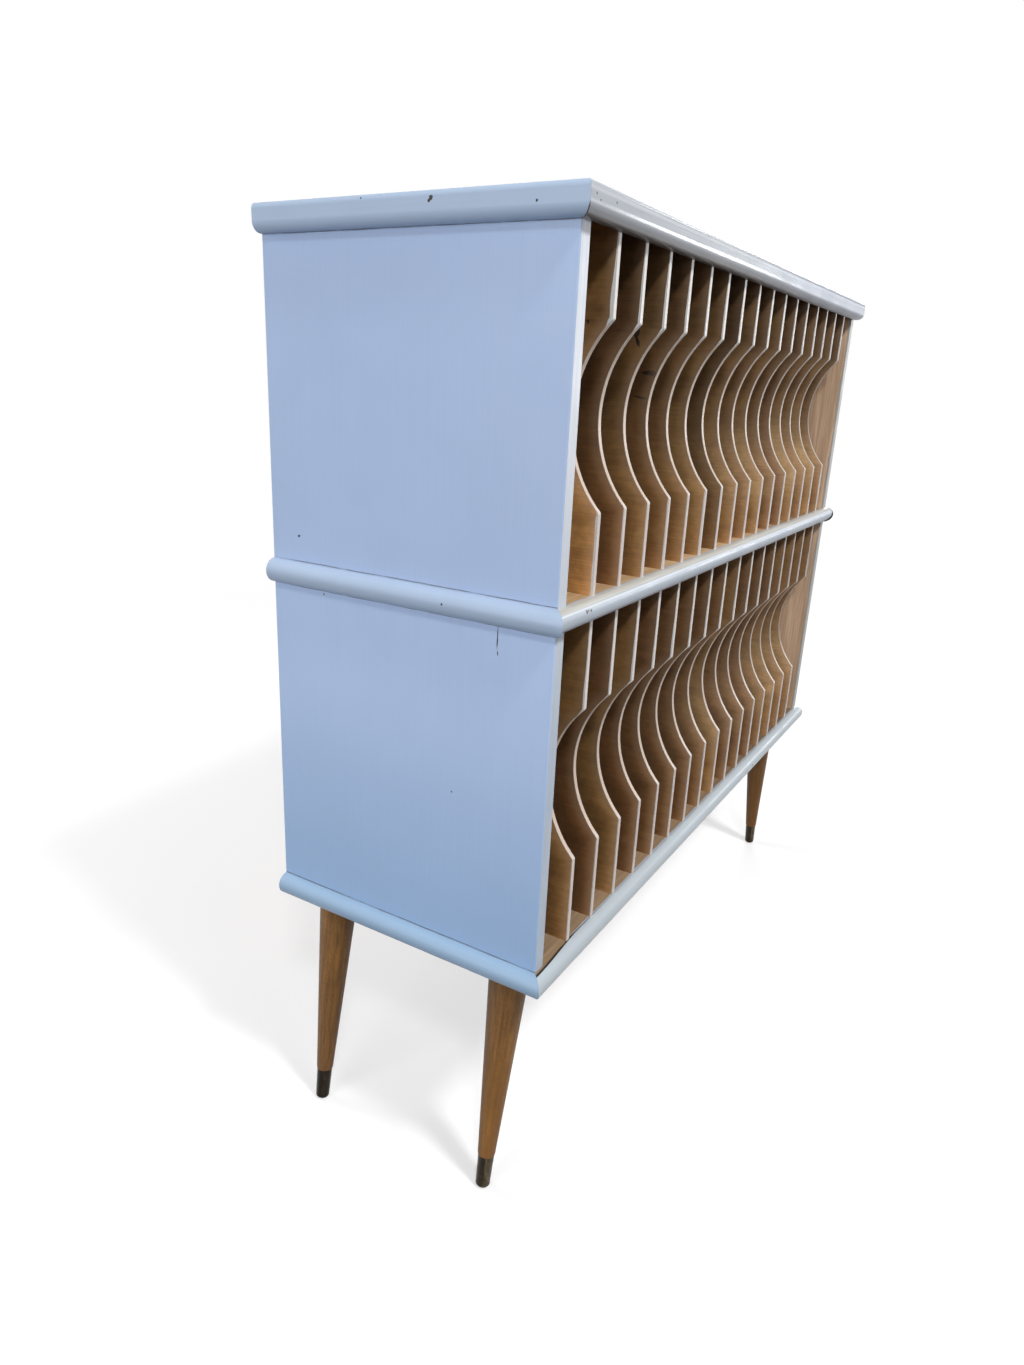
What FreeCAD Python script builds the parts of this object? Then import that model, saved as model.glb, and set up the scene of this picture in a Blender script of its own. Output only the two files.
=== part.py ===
"""Record cabinet: a painted board carcass with two tiers of scooped dividers, on four splayed legs.

Millimetres, +Z up, +X to the right as seen from the front, the front faces -Y.
The origin is on the floor, under the middle of the whole cabinet.

The boards and side panels are dowelled together, the shelf is housed in the side panels,
the dividers stand in grooves in the boards, and the back sits in a rebate. Mouldings, mitred
at the front corners, cover the board edges at three heights: half-round ones at the shelf and
the bottom board, and a squarer nosing at the top.
"""

import FreeCAD, Part
import math
import os

V = FreeCAD.Vector
ALONG_X, ALONG_Y, UP = V(1, 0, 0), V(0, 1, 0), V(0, 0, 1)

# Carcass.
CARCASS_WIDTH = 1100.0        # over the outer faces of the side panels
CARCASS_DEPTH = 377.0         # front edges of the boards to the back face
BOARD_THICKNESS = 18.0        # top board, shelf and bottom board
SIDE_THICKNESS = 18.0
LOWER_TIER_HEIGHT = 399.0     # clear, bottom board to shelf
UPPER_TIER_HEIGHT = 352.0     # clear, shelf to top board
SHELF_HOUSING_DEPTH = 6.0     # how far the shelf goes into each side panel
SIDE_EDGE_ROUND = 1.5         # eased front edges of the side panels

# Back panel, let into a rebate round the carcass.
BACK_THICKNESS = 6.0
BACK_LAP = 9.0
BACK_EDGE_CLEARANCE = 0.5

# Dividers.
DIVIDERS_PER_TIER = 16
DIVIDER_THICKNESS = 6.0
GROOVE_DEPTH = 4.0
GROOVE_SIDE_CLEARANCE = 0.1
DIVIDER_BACK_CLEARANCE = 0.5
SCOOP_CHORD = 182.0           # hand scoop in the front edge, halfway up the divider
SCOOP_DEPTH = 38.0
SCOOP_CORNER_RADIUS = 4.0

# Mouldings: half-round at the shelf and the bottom board, a nosing of the same size at the top.
MOULDING_RADIUS = 14.0
SHELF_FRONT_RADIUS = 12.5     # the half-round along the front of the shelf is a little smaller
NOSING_TOP_ROUND = 6.0        # upper corner of the nosing
NOSING_LOW_ROUND = 11.0       # lower corner

# Legs, measured along the leg's own axis.
LEG_SPLAY_DEG = 8.0           # outwards, to the left and right only
LEG_INSET_SIDE = 43.0         # axis at the bottom board's underside, in from the side face
LEG_INSET_END = 55.0          # the same, in from the front edge and from the back face
LEG_LENGTH = 313.0            # seat on the plate to the tip of the ferrule
LEG_TOP_DIAMETER = 51.0
LEG_LOW_DIAMETER = 22.5
LEG_TOP_EASE = 1.0
SHOULDER_LENGTH = 6.0         # rounded end of the wood above the ferrule
FERRULE_LENGTH = 45.0
FERRULE_TOP_DIAMETER = 20.5   # tapers on, as the leg does
FERRULE_LOW_DIAMETER = 18.0
FERRULE_WALL = 1.2
FERRULE_EDGE_ROUND = 4.0
FERRULE_STEP = 0.4            # the wood stands this much proud of the ferrule
SPIGOT_FIT = 0.05

# Leg mounting plates.
PLATE_SIDE = 64.0
PLATE_THICKNESS = 2.5
PLATE_CORNER_RADIUS = 6.0
BOSS_DIAMETER = 44.0
SEAT_DROP = 7.0               # board underside to the leg's seat, along the leg's axis

# Hanger bolts.
BOLT_DIAMETER = 8.0
BOLT_IN_LEG = 38.0
BOLT_BORE_SPARE = 1.0
BOLT_TOP_CLEARANCE = 0.5

# Plate screws.
SCREW_DIAMETER = 4.0
SCREW_LENGTH = 14.0           # under the head
SCREW_HEAD_DIAMETER = 8.0
SCREW_HEAD_HEIGHT = 2.4
SCREW_PITCH = 48.0            # between the holes, both ways

# Dowels between the side panels and the top and bottom boards.
DOWEL_DIAMETER = 8.0
DOWEL_IN_BOARD = 11.0
DOWEL_IN_SIDE = 25.0
DOWEL_END_SPARE = 0.5
DOWELS_PER_JOINT = 3

FASTENER_FIT = 0.05           # radial, all bores

# Levels and planes worked out from the sizes above.
SPLAY = math.radians(LEG_SPLAY_DEG)
EDGE_ROUND_DEPTH = SEAT_DROP + LEG_LENGTH - FERRULE_EDGE_ROUND
FERRULE_TAPER = math.atan((FERRULE_TOP_DIAMETER - FERRULE_LOW_DIAMETER) / 2 / FERRULE_LENGTH)
FERRULE_FLAT_RADIUS = (FERRULE_LOW_DIAMETER / 2
                       - FERRULE_EDGE_ROUND * (1 - math.sin(FERRULE_TAPER)) / math.cos(FERRULE_TAPER))
# The tilted ferrule stands on its rounded lower edge.
UNDERSIDE_Z = (EDGE_ROUND_DEPTH * math.cos(SPLAY) + FERRULE_FLAT_RADIUS * math.sin(SPLAY)
               + FERRULE_EDGE_ROUND)
BOTTOM_TOP_Z = UNDERSIDE_Z + BOARD_THICKNESS
SHELF_UNDER_Z = BOTTOM_TOP_Z + LOWER_TIER_HEIGHT
SHELF_TOP_Z = SHELF_UNDER_Z + BOARD_THICKNESS
TOP_UNDER_Z = SHELF_TOP_Z + UPPER_TIER_HEIGHT
TOP_Z = TOP_UNDER_Z + BOARD_THICKNESS

OUTER_X = CARCASS_WIDTH / 2
INNER_X = OUTER_X - SIDE_THICKNESS
FRONT_Y = (MOULDING_RADIUS - CARCASS_DEPTH) / 2
BACK_Y = FRONT_Y + CARCASS_DEPTH
BACK_FACE_Y = BACK_Y - BACK_THICKNESS
SLOTS = DIVIDERS_PER_TIER + 1
SLOT_WIDTH = (2 * INNER_X - DIVIDERS_PER_TIER * DIVIDER_THICKNESS) / SLOTS

# Each level of moulding runs flush with the top of the board behind it.
MOULDING_LEVELS = {"top": TOP_Z, "shelf": SHELF_TOP_Z, "bottom": BOTTOM_TOP_Z}
SIDES = {"left": -1, "right": 1}
ENDS = {"front": -1, "back": 1}


# ---------- helpers ----------

def box(x_low, x_high, y_low, y_high, z_low, z_high):
    corner = V(x_low, y_low, z_low)
    return Part.makeBox(x_high - x_low, y_high - y_low, z_high - z_low, corner)


def rod(diameter, start, direction, length, clearance=0.0):
    return Part.makeCylinder(diameter / 2 + clearance, length, start, direction)


def spread(low, high, count):
    """Middles of count equal stretches between low and high."""
    step = (high - low) / count
    return [low + (i + 0.5) * step for i in range(count)]


def lines(points):
    return [Part.makeLine(a, b) for a, b in zip(points, points[1:])]


def polygon_prism(points, direction):
    return Part.Face(Part.makePolygon(points + points[:1])).extrude(direction)


def slot_centre(slot):
    return -INNER_X + (slot + 0.5) * SLOT_WIDTH + slot * DIVIDER_THICKNESS


def divider_x(number):
    """Middle plane of a divider, counted from 1 at the left."""
    return slot_centre(number) - (SLOT_WIDTH + DIVIDER_THICKNESS) / 2


# ---------- fasteners, made once and cut from what they go through ----------

def dowels(clearance=0.0, spare=0.0):
    """Dowels that tie each side panel to the top and the bottom board."""
    made = []
    length = DOWEL_IN_BOARD + DOWEL_IN_SIDE + 2 * spare
    for low_end in (BOTTOM_TOP_Z - DOWEL_IN_BOARD, TOP_UNDER_Z - DOWEL_IN_SIDE):
        for side in SIDES.values():
            x = side * (OUTER_X - SIDE_THICKNESS / 2)
            for y in spread(FRONT_Y, BACK_Y, DOWELS_PER_JOINT):
                made.append(rod(DOWEL_DIAMETER, V(x, y, low_end - spare), UP, length, clearance))
    return made


def leg_root(side, end):
    """Where a leg's axis meets the underside of the bottom board."""
    x = side * (OUTER_X - LEG_INSET_SIDE)
    y = FRONT_Y + LEG_INSET_END if end < 0 else BACK_Y - LEG_INSET_END
    return V(x, y, UNDERSIDE_Z)


def along_leg(shape, side, end):
    """Tilts a shape made round the Z axis, with the root at the origin, onto a leg's axis."""
    shape.rotate(V(0, 0, 0), ALONG_Y, -side * LEG_SPLAY_DEG)
    shape.translate(leg_root(side, end))
    return shape


def corners():
    return [(side, end) for end in ENDS.values() for side in SIDES.values()]


def bolt_top():
    """Depth of the bolt's top end under the board, clear of it although the bolt leans."""
    return BOLT_DIAMETER / 2 * math.tan(SPLAY) + BOLT_TOP_CLEARANCE


def hanger_bolt(side, end):
    length = SEAT_DROP + BOLT_IN_LEG - bolt_top()
    return along_leg(rod(BOLT_DIAMETER, V(0, 0, -bolt_top()), -UP, length), side, end)


def screw_places(side, end):
    root = leg_root(side, end)
    half = SCREW_PITCH / 2
    return [root + V(dx, dy, 0) for dx in (-half, half) for dy in (-half, half)]


def plate_screw(place):
    under_head = place - PLATE_THICKNESS * UP
    head = rod(SCREW_HEAD_DIAMETER, under_head, -UP, SCREW_HEAD_HEIGHT)
    return head.fuse(rod(SCREW_DIAMETER, under_head, UP, SCREW_LENGTH))


def plate_screws():
    return [plate_screw(place) for corner in corners() for place in screw_places(*corner)]


def screw_bores():
    return [rod(SCREW_DIAMETER, place - PLATE_THICKNESS * UP, UP, SCREW_LENGTH, FASTENER_FIT)
            for corner in corners() for place in screw_places(*corner)]


# ---------- carcass ----------

def back_space():
    """The rebate that the back panel sits in."""
    lap = BACK_LAP + BACK_EDGE_CLEARANCE
    return box(-INNER_X - lap, INNER_X + lap, BACK_FACE_Y, BACK_Y, BOTTOM_TOP_Z - lap, TOP_UNDER_Z + lap)


def back_panel():
    return box(-INNER_X - BACK_LAP, INNER_X + BACK_LAP, BACK_FACE_Y, BACK_Y,
               BOTTOM_TOP_Z - BACK_LAP, TOP_UNDER_Z + BACK_LAP)


def grooves(z_low, z_high):
    half = DIVIDER_THICKNESS / 2 + GROOVE_SIDE_CLEARANCE
    return [box(divider_x(n) - half, divider_x(n) + half, FRONT_Y, BACK_FACE_Y, z_low, z_high)
            for n in range(1, DIVIDERS_PER_TIER + 1)]


def dowelled(shape):
    """Cuts the dowel bores from a board or a side panel."""
    return shape.cut(dowels(FASTENER_FIT, DOWEL_END_SPARE))


def top_board():
    board = box(-OUTER_X, OUTER_X, FRONT_Y, BACK_Y, TOP_UNDER_Z, TOP_Z)
    board = board.cut(grooves(TOP_UNDER_Z, TOP_UNDER_Z + GROOVE_DEPTH) + [back_space()])
    return dowelled(board)


def bottom_board():
    board = box(-OUTER_X, OUTER_X, FRONT_Y, BACK_Y, UNDERSIDE_Z, BOTTOM_TOP_Z)
    board = board.cut(grooves(BOTTOM_TOP_Z - GROOVE_DEPTH, BOTTOM_TOP_Z) + [back_space()])
    return dowelled(board).cut(screw_bores())


def shelf_board():
    reach = INNER_X + SHELF_HOUSING_DEPTH
    board = box(-reach, reach, FRONT_Y, BACK_FACE_Y, SHELF_UNDER_Z, SHELF_TOP_Z)
    upper = grooves(SHELF_TOP_Z - GROOVE_DEPTH, SHELF_TOP_Z)
    lower = grooves(SHELF_UNDER_Z, SHELF_UNDER_Z + GROOVE_DEPTH)
    return board.cut(upper + lower)


def side_panel(side):
    x_low, x_high = sorted((side * INNER_X, side * OUTER_X))
    panel = box(x_low, x_high, FRONT_Y, BACK_Y, BOTTOM_TOP_Z, TOP_UNDER_Z)
    front_edges = [edge for edge in panel.Edges if edge.BoundBox.YMax < FRONT_Y + SIDE_EDGE_ROUND
                   and edge.BoundBox.ZLength > BOARD_THICKNESS]
    panel = panel.makeFillet(SIDE_EDGE_ROUND, front_edges)
    housing = box(-INNER_X - SHELF_HOUSING_DEPTH, INNER_X + SHELF_HOUSING_DEPTH, FRONT_Y, BACK_FACE_Y,
                  SHELF_UNDER_Z, SHELF_TOP_Z)
    return dowelled(panel.cut([housing, back_space()]))


# ---------- dividers ----------

def divider(number, z_low, z_high):
    """A thin upright between z_low and z_high, its ends standing in the grooves."""
    x = divider_x(number) - DIVIDER_THICKNESS / 2
    back = BACK_FACE_Y - DIVIDER_BACK_CLEARANCE
    middle = (z_low + z_high) / 2
    half_chord = SCOOP_CHORD / 2
    foot, head = V(x, FRONT_Y, z_low - GROOVE_DEPTH), V(x, FRONT_Y, z_high + GROOVE_DEPTH)
    scoop_low, scoop_high = V(x, FRONT_Y, middle - half_chord), V(x, FRONT_Y, middle + half_chord)
    deepest = V(x, FRONT_Y + SCOOP_DEPTH, middle)
    back_high, back_low = V(x, back, head.z), V(x, back, foot.z)
    outline = Part.Wire([
        Part.makeLine(foot, scoop_low),
        Part.Arc(scoop_low, deepest, scoop_high).toShape(),
        Part.makeLine(scoop_high, head),
        Part.makeLine(head, back_high),
        Part.makeLine(back_high, back_low),
        Part.makeLine(back_low, foot),
    ])
    plate = Part.Face(outline).extrude(V(DIVIDER_THICKNESS, 0, 0))
    corner_edges = [edge for edge in plate.Edges if edge.BoundBox.XLength > DIVIDER_THICKNESS / 2
                    and abs(edge.CenterOfMass.y - FRONT_Y) < SCOOP_CORNER_RADIUS
                    and abs(abs(edge.CenterOfMass.z - middle) - half_chord) < SCOOP_CORNER_RADIUS]
    return plate.makeFillet(SCOOP_CORNER_RADIUS, corner_edges)


# ---------- mouldings ----------

def nosing_profile(corner, out):
    """Section of the nosing. The corner is at the back of its top face, and out points forwards."""
    width, height = MOULDING_RADIUS, 2 * MOULDING_RADIUS
    top, low = NOSING_TOP_ROUND, NOSING_LOW_ROUND
    short = 1 - math.sqrt(0.5)

    def at(across, down):
        return corner + out * across - UP * down

    top_round = Part.Arc(at(width - top, 0), at(width - top * short, top * short), at(width, top))
    low_round = Part.Arc(at(width, height - low), at(width - low * short, height - low * short),
                         at(width - low, height))
    upper = [at(0, height), at(0, 0), at(width - top, 0)]
    edges = lines(upper) + [top_round.toShape()] + lines([at(width, top), at(width, height - low)])
    edges += [low_round.toShape()] + lines([at(width - low, height), at(0, height)])
    return Part.Face(Part.Wire(edges))


def moulding_bar(level, radius, board_top, start, out, along, length):
    """A straight length of moulding, whose back starts at start (in plan)."""
    if level == "top":
        return nosing_profile(V(start.x, start.y, board_top), out).extrude(along * length)
    return rod(2 * radius, V(start.x, start.y, board_top - radius), along, length)


def moulding_front(level, board_top):
    """Across the front, its ends mitred at 45 degrees."""
    r = SHELF_FRONT_RADIUS if level == "shelf" else MOULDING_RADIUS
    reach = OUTER_X + r
    bar = moulding_bar(level, r, board_top, V(-reach, FRONT_Y, 0), ALONG_Y * -1, ALONG_X, 2 * reach)
    z = board_top - 2 * r
    plan = [V(-OUTER_X, FRONT_Y, z), V(-reach, FRONT_Y - r, z),
            V(reach, FRONT_Y - r, z), V(OUTER_X, FRONT_Y, z)]
    return bar.common(polygon_prism(plan, V(0, 0, 2 * r)))


def moulding_side(level, board_top, side):
    """Along one side: mitred at the front, square at the back."""
    r = MOULDING_RADIUS
    inner, outer = side * OUTER_X, side * (OUTER_X + r)
    start = V(inner, FRONT_Y - r, 0)
    bar = moulding_bar(level, r, board_top, start, ALONG_X * side, ALONG_Y, CARCASS_DEPTH + r)
    z = board_top - 2 * r
    plan = [V(inner, FRONT_Y, z), V(outer, FRONT_Y - r, z), V(outer, BACK_Y, z), V(inner, BACK_Y, z)]
    return bar.common(polygon_prism(plan, V(0, 0, 2 * r)))


# ---------- legs ----------

def ferrule_top():
    """Depth along the leg's axis, under the board, where the wood ends and the ferrule starts."""
    return SEAT_DROP + LEG_LENGTH - FERRULE_LENGTH


def ferrule_floor():
    """Depth of the flat bottom inside the ferrule."""
    return EDGE_ROUND_DEPTH


def ferrule_radius(depth):
    """Outer radius of the tapered ferrule at a depth along the leg's axis."""
    return FERRULE_TOP_DIAMETER / 2 - (depth - ferrule_top()) * math.tan(FERRULE_TAPER)


def revolve(edges):
    return Part.Face(Part.Wire(edges)).revolve(V(0, 0, 0), UP, 360)


def leg(side, end):
    """Turned and tapered, with a rounded end above the ferrule and a tapered spigot inside it."""
    top_radius, low_radius = LEG_TOP_DIAMETER / 2, LEG_LOW_DIAMETER / 2
    neck_depth = ferrule_top()
    neck_radius = ferrule_radius(neck_depth) + FERRULE_STEP
    drop = low_radius - neck_radius
    turn = 2 * math.atan(drop / SHOULDER_LENGTH)
    bend = SHOULDER_LENGTH / math.sin(turn)
    shoulder = V(low_radius, 0, SHOULDER_LENGTH - neck_depth)
    halfway = shoulder - V(bend * (1 - math.cos(turn / 2)), 0, bend * math.sin(turn / 2))
    neck = V(neck_radius, 0, -neck_depth)
    inside = FERRULE_WALL + SPIGOT_FIT
    spigot_top = V(ferrule_radius(neck_depth) - inside, 0, -neck_depth)
    spigot_low = V(ferrule_radius(ferrule_floor()) - inside, 0, -ferrule_floor())
    seat = -SEAT_DROP
    above = [V(0, 0, seat), V(top_radius - LEG_TOP_EASE, 0, seat),
             V(top_radius, 0, seat - LEG_TOP_EASE), shoulder]
    below = [neck, spigot_top, spigot_low, V(0, 0, spigot_low.z), V(0, 0, seat)]
    edges = lines(above) + [Part.Arc(shoulder, halfway, neck).toShape()] + lines(below)
    bore = rod(BOLT_DIAMETER, V(0, 0, seat), -UP, BOLT_IN_LEG + BOLT_BORE_SPARE, FASTENER_FIT)
    return along_leg(revolve(edges).cut(bore), side, end)


def ferrule(side, end):
    """A closed, tapered tube with a rounded lower edge, on the leg's spigot."""
    mouth = V(0, 0, -ferrule_top())
    tube = Part.makeCone(FERRULE_TOP_DIAMETER / 2, FERRULE_LOW_DIAMETER / 2, FERRULE_LENGTH, mouth, -UP)
    low_rim = [edge for edge in tube.Edges if edge.BoundBox.ZMax < -EDGE_ROUND_DEPTH]
    tube = tube.makeFillet(FERRULE_EDGE_ROUND, low_rim)
    hollow_top = ferrule_radius(ferrule_top()) - FERRULE_WALL
    hollow_low = ferrule_radius(ferrule_floor()) - FERRULE_WALL
    hollow = Part.makeCone(hollow_top, hollow_low, ferrule_floor() - ferrule_top(), mouth, -UP)
    return along_leg(tube.cut(hollow), side, end)


def mounting_plate(side, end):
    """Flat plate under the board with a sloped, bored boss that the leg's top seats on."""
    root = leg_root(side, end)
    half = PLATE_SIDE / 2
    plate = box(root.x - half, root.x + half, root.y - half, root.y + half, root.z - PLATE_THICKNESS, root.z)
    uprights = [edge for edge in plate.Edges if edge.BoundBox.ZLength > PLATE_THICKNESS / 2]
    plate = plate.makeFillet(PLATE_CORNER_RADIUS, uprights)
    boss = rod(BOSS_DIAMETER, V(0, 0, BOSS_DIAMETER / 2), -UP, BOSS_DIAMETER / 2 + SEAT_DROP)
    boss = along_leg(boss, side, end)
    above = box(root.x - PLATE_SIDE, root.x + PLATE_SIDE, root.y - PLATE_SIDE, root.y + PLATE_SIDE,
                root.z - PLATE_THICKNESS / 2, root.z + BOSS_DIAMETER)
    solid = plate.fuse(boss.cut(above)).removeSplitter()
    bore = along_leg(rod(BOLT_DIAMETER, V(0, 0, SEAT_DROP), -UP, 3 * SEAT_DROP, FASTENER_FIT), side, end)
    holes = [rod(SCREW_DIAMETER, place - PLATE_THICKNESS * UP, UP, PLATE_THICKNESS, FASTENER_FIT)
             for place in screw_places(side, end)]
    return solid.cut([bore] + holes)


# ---------- the pieces, one node each ----------

def save(name, *solids):
    shape = solids[0] if len(solids) == 1 else Part.makeCompound(list(solids))
    shape.exportStep("parts/%s.step" % name)


def save_carcass():
    save("top_board", top_board())
    save("shelf_board", shelf_board())
    save("bottom_board", bottom_board())
    save("back_panel", back_panel())
    for name, side in SIDES.items():
        save("side_panel_" + name, side_panel(side))
    save("carcass_dowels", *dowels())


def save_dividers():
    for number in range(1, DIVIDERS_PER_TIER + 1):
        save("upper_divider_%02d" % number, divider(number, SHELF_TOP_Z, TOP_UNDER_Z))
        save("lower_divider_%02d" % number, divider(number, BOTTOM_TOP_Z, SHELF_UNDER_Z))


def save_mouldings():
    for level, board_top in MOULDING_LEVELS.items():
        save(level + "_moulding_front", moulding_front(level, board_top))
        for name, side in SIDES.items():
            save("%s_moulding_%s" % (level, name), moulding_side(level, board_top, side))


def save_legs():
    for end_name, end in ENDS.items():
        for side_name, side in SIDES.items():
            place = "%s_%s" % (end_name, side_name)
            save("leg_" + place, leg(side, end))
            save("ferrule_" + place, ferrule(side, end))
    save("leg_mounting_plates", *[mounting_plate(*corner) for corner in corners()])
    save("leg_hanger_bolts", *[hanger_bolt(*corner) for corner in corners()])
    save("mounting_plate_screws", *plate_screws())


os.makedirs("parts", exist_ok=True)
save_carcass()
save_dividers()
save_mouldings()
save_legs()
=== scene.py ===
"""Looks for the record cabinet: paint, wood and metal, the small fasteners, the camera and the lights."""

import math

import bmesh
import bpy
from mathutils import Matrix, Vector


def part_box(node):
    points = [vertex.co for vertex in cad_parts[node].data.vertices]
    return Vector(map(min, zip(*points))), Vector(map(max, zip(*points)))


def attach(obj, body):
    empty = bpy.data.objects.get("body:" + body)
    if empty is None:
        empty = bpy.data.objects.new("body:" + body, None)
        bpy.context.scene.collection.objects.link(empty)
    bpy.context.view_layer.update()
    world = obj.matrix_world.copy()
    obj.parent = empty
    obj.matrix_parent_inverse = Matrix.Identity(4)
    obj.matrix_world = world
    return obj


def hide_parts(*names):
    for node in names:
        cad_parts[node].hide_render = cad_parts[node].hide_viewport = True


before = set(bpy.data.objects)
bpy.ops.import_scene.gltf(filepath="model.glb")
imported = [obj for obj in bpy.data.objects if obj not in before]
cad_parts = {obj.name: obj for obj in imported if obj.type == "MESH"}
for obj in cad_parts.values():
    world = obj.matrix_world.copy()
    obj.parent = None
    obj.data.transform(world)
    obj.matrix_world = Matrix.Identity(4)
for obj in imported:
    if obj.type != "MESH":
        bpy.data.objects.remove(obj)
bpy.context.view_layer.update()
bpy.context.scene.view_settings.view_transform = "Standard"

# ---------- places on the cabinet, in metres, from the frame ----------

panel_low, panel_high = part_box("side_panel_right")
INNER_X, OUTER_X = panel_low[0], panel_high[0]
FRONT_Y, BACK_Y = panel_low[1], panel_high[1]
BOTTOM_TOP_Z, TOP_UNDER_Z = panel_low[2], panel_high[2]
SHELF_UNDER_Z, SHELF_TOP_Z = (corner[2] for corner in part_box("shelf_board"))
UNDERSIDE_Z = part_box("bottom_board")[0][2]
TOP_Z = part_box("top_board")[1][2]
LOWER_MIDDLE_Z = (BOTTOM_TOP_Z + SHELF_UNDER_Z) / 2
UPPER_MIDDLE_Z = (SHELF_TOP_Z + TOP_UNDER_Z) / 2

MOULDING_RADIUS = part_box("top_moulding_right")[1][0] - OUTER_X
SHELF_FRONT_RADIUS = FRONT_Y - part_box("shelf_moulding_front")[0][1]
NOSING_TOP_ROUND = 0.006
SIDE_FACE_X = OUTER_X + MOULDING_RADIUS
FRONT_FACE_Y = FRONT_Y - MOULDING_RADIUS
LEG_SPLAY = math.radians(8)

first_low, first_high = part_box("upper_divider_01")
FIRST_DIVIDER_X = (first_low[0] + first_high[0]) / 2
DIVIDER_THICKNESS = first_high[0] - first_low[0]
DIVIDER_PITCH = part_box("upper_divider_02")[0][0] - first_low[0]
DIVIDERS = 16

# The scooped front edge of a divider.
HALF_CHORD = 0.091
SCOOP_DEPTH = 0.038
SCOOP_RADIUS = (HALF_CHORD ** 2 + SCOOP_DEPTH ** 2) / (2 * SCOOP_DEPTH)
SCOOP_CENTRE_Y = FRONT_Y + SCOOP_DEPTH - SCOOP_RADIUS

# ---------- colours ----------

# Paint on the panels, the top board and the mouldings; the front mouldings' pale ones are the blue paint
# painted paler as light.
BLUE = (0.372, 0.482, 0.695)
MOULDING_BLUE = (0.372, 0.470, 0.618)
TOP_FRONT_PAINT_LIT = (0.40, 0.44, 0.495)
FRONT_PAINT_LIT = (0.455, 0.515, 0.60)
BOTTOM_FRONT_PAINT_LIT = (0.52, 0.59, 0.645)
# Painted light on the right side mouldings' corners, a painted highlight on the shelf moulding, and a
# painted highlight and dark reflection on the top one.
CORNER_PAINTED_LIGHT = (0.90, 0.92, 0.95)
SHOULDER_HIGHLIGHT = (0.82, 0.87, 0.93)
UPPER_HIGHLIGHT = (0.70, 0.745, 0.80)
DARK_REFLECTION_BAND = (0.20, 0.21, 0.23)
# The cream undercoat where the paint is worn through.
UNDERCOAT = (0.53, 0.53, 0.50)
# The side panels' front edge: whiter near the top as painted light, and greyer on the right panel as painted
# shade.
PANEL_EDGE_LIT = (0.80, 0.84, 0.92)
PANEL_EDGE_LOW = (0.50, 0.58, 0.69)
PANEL_EDGE_SHADED = (0.45, 0.44, 0.425)

# Paint on the dividers' front edges, darker along the scoop and at the far end as painted shade, and where
# it is smeared onto their faces, whitened as painted light.
EDGE_HEAD = (0.80, 0.765, 0.735)
EDGE_ARC_SHADED = (0.69, 0.575, 0.485)
EDGE_FOOT = (0.74, 0.66, 0.62)
EDGE_FAR_SHADED = (0.38, 0.32, 0.275)
SMEAR_LIT = (0.92, 0.95, 0.98)

# Wood.
PLY_GOLD = (0.312, 0.170, 0.060)
PLY_RED = (0.288, 0.135, 0.052)
PLY_DARK = (0.150, 0.073, 0.029)
PLY_EDGE_PALE = (0.47, 0.33, 0.22)
BOARD_PALE = (0.66, 0.46, 0.27)
BOARD_DARK = (0.46, 0.30, 0.165)
BOTTOM_PALE = (0.36, 0.245, 0.148)
BOTTOM_DARK = (0.29, 0.205, 0.13)
BACK_PALE = (0.50, 0.34, 0.20)
BACK_DARK = (0.37, 0.235, 0.13)
BEECH_PALE = (0.66, 0.50, 0.34)
BEECH_DARK = (0.52, 0.37, 0.23)
LIP_WOOD = (0.20, 0.11, 0.06)
LEG_PALE = (0.235, 0.112, 0.027)
LEG_DARK = (0.125, 0.057, 0.017)
LEG_AMBER = (0.245, 0.103, 0.016)
LEG_RED = (0.16, 0.055, 0.016)
# Painted shade on the legs' sides.
LEG_SHADE = (0.050, 0.022, 0.008)

# Metal.
BRASS_PALE = (0.135, 0.105, 0.060)
BRASS_DARK = (0.040, 0.030, 0.018)
# Painted shade on the ferrules.
BRASS_SHADE = (0.012, 0.009, 0.006)
STEEL_PALE = (0.60, 0.60, 0.61)
STEEL_DARK = (0.42, 0.42, 0.43)

# Damage and dirt, and painted shadow and shade.
WOOD_BENEATH = (0.022, 0.014, 0.010)
CRACK = (0.018, 0.011, 0.008)
JOINT_LINE = (0.16, 0.17, 0.19)
GRIME_AND_SHADOW = (0.075, 0.062, 0.055)
UNDERSIDE_SHADE = (0.10, 0.09, 0.085)

# Tints, which multiply a colour: dust and rubbing, and painted light and shade.
FLOOR_SHADE_TINT = (0.76, 0.87, 0.91)
DUST_TINT = (0.90, 0.93, 0.93)
RUB_TINT = (1.10, 1.08, 1.04)
FAR_TOP_SHADE_TINT = (0.78, 0.795, 0.89)
RIGHT_PANEL_LIGHT_TINT = (1.25, 1.30, 1.55)
SCOOP_FOOT_LIGHT_TINT = (1.72, 2.10, 2.90)


# ---------- shader building ----------

class Value:
    """A shader node's output, with + - * and / that add the nodes to work them out."""

    def __init__(self, shader, socket):
        self.shader = shader
        self.socket = socket

    def __add__(self, other):
        return self.shader.math("ADD", self, other)

    def __radd__(self, other):
        return self.shader.math("ADD", other, self)

    def __sub__(self, other):
        return self.shader.math("SUBTRACT", self, other)

    def __rsub__(self, other):
        return self.shader.math("SUBTRACT", other, self)

    def __mul__(self, other):
        return self.shader.math("MULTIPLY", self, other)

    def __truediv__(self, other):
        return self.shader.math("DIVIDE", self, other)

    def __neg__(self):
        return self.shader.math("MULTIPLY", self, -1.0)


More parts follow.
